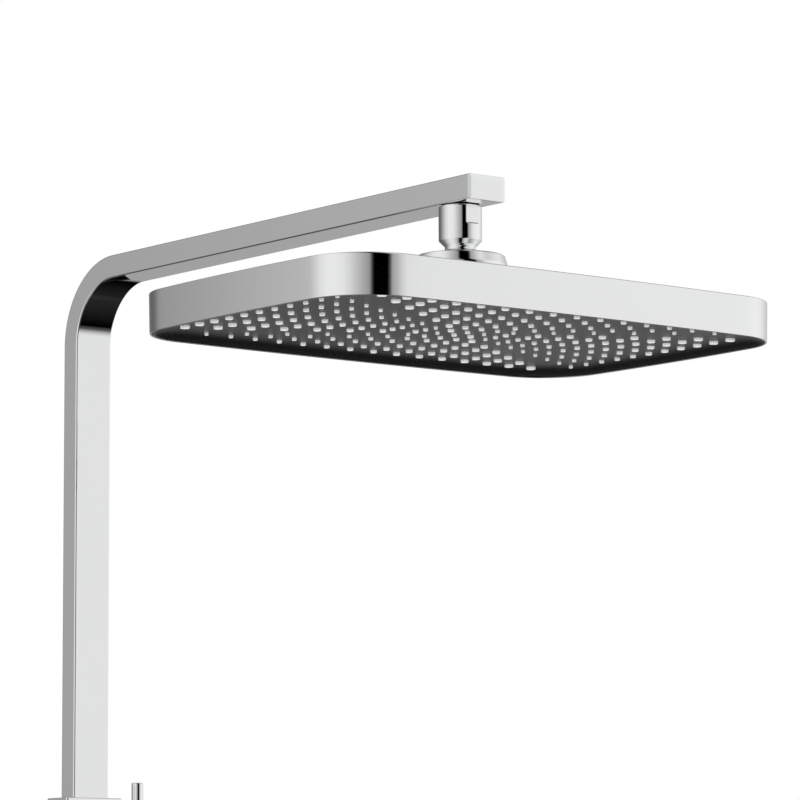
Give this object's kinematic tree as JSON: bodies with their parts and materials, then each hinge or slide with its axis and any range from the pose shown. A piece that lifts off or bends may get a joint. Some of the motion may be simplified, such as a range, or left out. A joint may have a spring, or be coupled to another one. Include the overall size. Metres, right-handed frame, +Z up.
{
  "type": "rainfall shower column",
  "caption": "Flat rectangular riser bent into an arm, with a rounded-rectangle rain head on a ball joint, a clamped handset slider and wall brackets.",
  "frame": {"origin": "centre of the upper wall plate's back face, on the wall's surface", "axes": "+X along the wall to the right as seen from the room, +Y into the wall, +Z up the riser"},
  "size_m": [0.36, 0.598, 1.0401],
  "materials": {
    "chrome": "polished",
    "steel": "plain machined",
    "brass": "machined",
    "face": "satin dark grey",
    "silicone": "soft light grey",
    "rubber": "matt black",
    "plastic": "natural moulded"
  },
  "bodies": {
    "column": {"riser_tube": "chrome", "arm_end_cap": "chrome", "water_pipe": "plastic", "outlet_block": "brass", "outlet_nipple": "brass", "flow_limiter": "plastic", "arm_washer": "rubber", "swivel_nut": "chrome", "filter_washer": "rubber", "foot_cap": "chrome", "inlet_body": "brass", "inlet_nipple": "chrome", "inlet_gasket": "rubber", "upper_wall_plate": "steel", "upper_wall_screw_a": "steel", "upper_wall_screw_b": "steel", "upper_post": "chrome", "upper_post_stud": "steel", "upper_grub_screw": "steel", "upper_rosette": "chrome", "lower_wall_plate": "steel", "lower_wall_screw_a": "steel", "lower_wall_screw_b": "steel", "lower_post": "chrome", "lower_post_stud": "steel", "lower_grub_screw": "steel", "lower_rosette": "chrome"},
    "seat_spin": {"upper_ball_seat": "plastic"},
    "seat_tilt": {"lower_ball_seat": "plastic"},
    "head": {"ball_stem": "chrome", "head_boss": "chrome", "stem_locknut": "brass", "head_shell": "chrome", "distribution_plate": "plastic", "chamber_seal": "rubber", "nozzle_mat": "silicone", "spray_plate": "face", "shell_stud_1": "brass", "shell_stud_2": "brass", "shell_stud_3": "brass", "shell_stud_4": "brass", "plate_screw_1": "steel", "plate_screw_2": "steel", "plate_screw_3": "steel", "plate_screw_4": "steel"},
    "slider": {"slider_body": "chrome", "slider_liner": "plastic", "clamp_pad": "plastic", "socket_neck": "chrome", "socket_screw": "steel"},
    "lever": {"clamp_spindle": "chrome", "lever_rod": "chrome"},
    "socket": {"handset_socket": "chrome"}
  },
  "joints": [
    {"name": "head_spin", "type": "hinge", "parent": "column", "child": "seat_spin", "pos_m": [0, -0.4758, 0.4846], "axis": [0, 0, 1], "continuous": true},
    {"name": "head_nod", "type": "hinge", "parent": "seat_spin", "child": "seat_tilt", "pos_m": [0, -0.4758, 0.4846], "axis": [1, 0, 0], "range_deg": [-7.5, 7.5]},
    {"name": "head_roll", "type": "hinge", "parent": "seat_tilt", "child": "head", "pos_m": [0, -0.4758, 0.4846], "axis": [0, 1, 0], "range_deg": [-7.5, 7.5]},
    {"name": "slider_slide", "type": "slide", "parent": "column", "child": "slider", "axis": [0, 0, 1], "range_m": [-0.088, 0.31]},
    {"name": "lever_turn", "type": "hinge", "parent": "slider", "child": "lever", "pos_m": [0, -0.053, 0.121], "axis": [1, 0, 0], "range_deg": [0, 90]},
    {"name": "socket_tilt", "type": "hinge", "parent": "slider", "child": "socket", "pos_m": [0, -0.0862, 0.121], "axis": [1, 0, 0], "range_deg": [-25, 25]}
  ]
}
